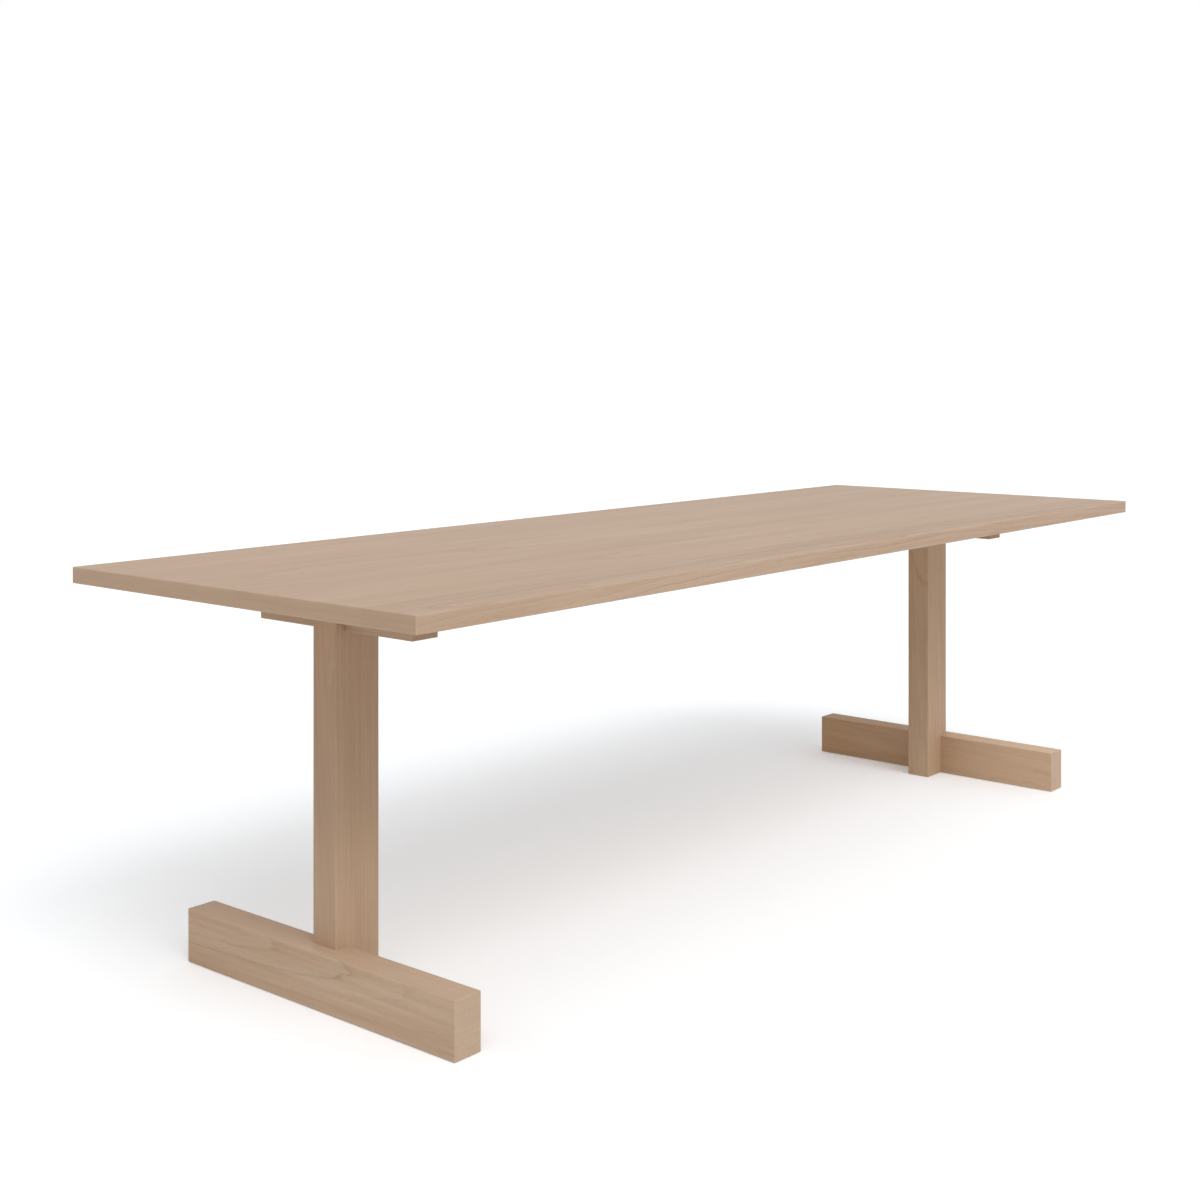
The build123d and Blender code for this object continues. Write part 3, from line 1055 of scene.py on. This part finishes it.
class TABLE_OT_stage(bpy.types.Operator):
    """Lay the floor, light the table and set the camera"""

    bl_idname = "communion_table.stage"
    bl_label = "Studio"

    def execute(self, context):
        studio = context.scene.table_studio
        self.lay_floor(context, studio)
        self.light_table(context, studio)
        self.set_camera(context)
        context.scene.view_settings.view_transform = "Standard"
        return {"FINISHED"}

    def lay_floor(self, context, studio):
        """A seamless painted floor, which is white but for the table's shadow when it is seen.

        The white is faintly blue, to offset the warm light that the wood throws on it. The light
        that the floor sends up to the table comes from plain light grey paint.
        """
        half = studio.floor_size / 2
        mesh = bpy.data.meshes.new("studio_floor")
        corners = ((-half, -half, 0), (half, -half, 0), (half, half, 0), (-half, half, 0))
        mesh.from_pydata(corners, [], [(0, 1, 2, 3)])
        floor = bpy.data.objects.new("studio_floor", mesh)
        context.scene.collection.objects.link(floor)

        material = bpy.data.materials.new("Studio floor, matt white paint")
        material.use_nodes = True
        material.node_tree.nodes.clear()
        add = partial(add_node, material.node_tree)
        path = add("LightPath").outputs
        seen = add("Math", (path["Is Camera Ray"], path["Is Glossy Ray"]), operation="MAXIMUM")
        paint = add("BsdfDiffuse", {"Color": opaque(linear("E7E7E7"))})
        white = add("BsdfDiffuse", {"Color": opaque(linear("FBFDFF"))})
        lift = add("Emission", {"Color": opaque(linear("F9FCFF")), "Strength": FLOOR_LIFT})
        white = add("AddShader", (white, lift))
        surface = add("MixShader", (seen, paint, white))
        add("OutputMaterial", {"Surface": surface})
        mesh.materials.append(material)

    def light_table(self, context, studio):
        """Even light that is brightest round the sides, a broad key light and a side light."""
        world = bpy.data.worlds.new("Studio")
        context.scene.world = world
        world.use_nodes = True
        world.node_tree.nodes.clear()
        add = partial(add_node, world.node_tree)
        up = add("SeparateXYZ", (add("TexCoord").outputs["Generated"],)).outputs["Z"]
        brightness = {"Value": up, "To Min": studio.sky_horizon, "To Max": studio.sky_zenith}
        glow = add("MapRange", brightness)
        light = add("Background", {"Color": (1, 1, 1, 1), "Strength": glow})
        white = add("Background", {"Color": (1, 1, 1, 1), "Strength": 1.0})
        path = add("LightPath").outputs
        seen = add("Math", (path["Is Camera Ray"], path["Is Glossy Ray"]), operation="MAXIMUM")
        add("OutputWorld", {"Surface": add("MixShader", (seen, light, white))})

        for name, azimuth, elevation, strength in (
            ("key_light", studio.key_azimuth, studio.key_elevation, studio.key_strength),
            ("side_light", studio.side_azimuth, studio.side_elevation, studio.side_strength),
        ):
            lamp = bpy.data.lights.new(name, "SUN")
            lamp.energy = strength
            lamp.angle = studio.light_spread
            light = bpy.data.objects.new(name, lamp)
            context.scene.collection.objects.link(light)
            flat = math.cos(elevation)
            towards = Vector(
                (math.sin(azimuth) * flat, -math.cos(azimuth) * flat, math.sin(elevation))
            )
            light.rotation_euler = towards.to_track_quat("Z", "Y").to_euler()
            light.location = LAMP_DISTANCE * towards

    def set_camera(self, context):
        """A level camera off the left front corner, a little above the top."""
        lens = bpy.data.cameras.new("camera")
        lens.lens = 50
        lens.sensor_width = 36
        lens.shift_y = -0.2
        camera = bpy.data.objects.new("camera", lens)
        camera.location = (-3.00336, -2.23329, 1.12072)
        camera.rotation_euler = (math.radians(90), 0, math.radians(-49.979))
        context.scene.collection.objects.link(camera)
        context.scene.camera = camera


class TABLE_PT_panel(bpy.types.Panel):
    """Sizes, colours and steps of the communion table"""

    bl_idname = "TABLE_PT_panel"
    bl_label = "Communion Table"
    bl_space_type = "VIEW_3D"
    bl_region_type = "UI"
    bl_category = "Communion Table"

    def draw(self, context):
        for title, owner in (
            ("Timber", context.scene.table_timber),
            ("Fittings", context.scene.table_fittings),
            ("Studio", context.scene.table_studio),
        ):
            box = self.layout.box()
            box.label(text=title)
            for name in owner.__annotations__:
                box.prop(owner, name)
        for operator in OPERATORS:
            self.layout.operator(operator.bl_idname)


OPERATORS = (
    TABLE_OT_top_boards,
    TABLE_OT_feet,
    TABLE_OT_posts,
    TABLE_OT_bearers,
    TABLE_OT_joinery,
    TABLE_OT_fixings,
    TABLE_OT_channels,
    TABLE_OT_glides,
    TABLE_OT_stage,
)
CLASSES = (TableTimber, TableFittings, TableStudio, *OPERATORS, TABLE_PT_panel)


def register():
    for cls in CLASSES:
        bpy.utils.register_class(cls)
    bpy.types.Scene.table_timber = PointerProperty(type=TableTimber)
    bpy.types.Scene.table_fittings = PointerProperty(type=TableFittings)
    bpy.types.Scene.table_studio = PointerProperty(type=TableStudio)


def unregister():
    del bpy.types.Scene.table_studio
    del bpy.types.Scene.table_fittings
    del bpy.types.Scene.table_timber
    for cls in reversed(CLASSES):
        bpy.utils.unregister_class(cls)


def main():
    register()
    bpy.ops.communion_table.top_boards()
    bpy.ops.communion_table.feet()
    bpy.ops.communion_table.posts()
    bpy.ops.communion_table.bearers()
    bpy.ops.communion_table.joinery()
    bpy.ops.communion_table.fixings()
    bpy.ops.communion_table.channels()
    bpy.ops.communion_table.glides()
    bpy.ops.communion_table.stage()


if __name__ == "__main__":
    main()
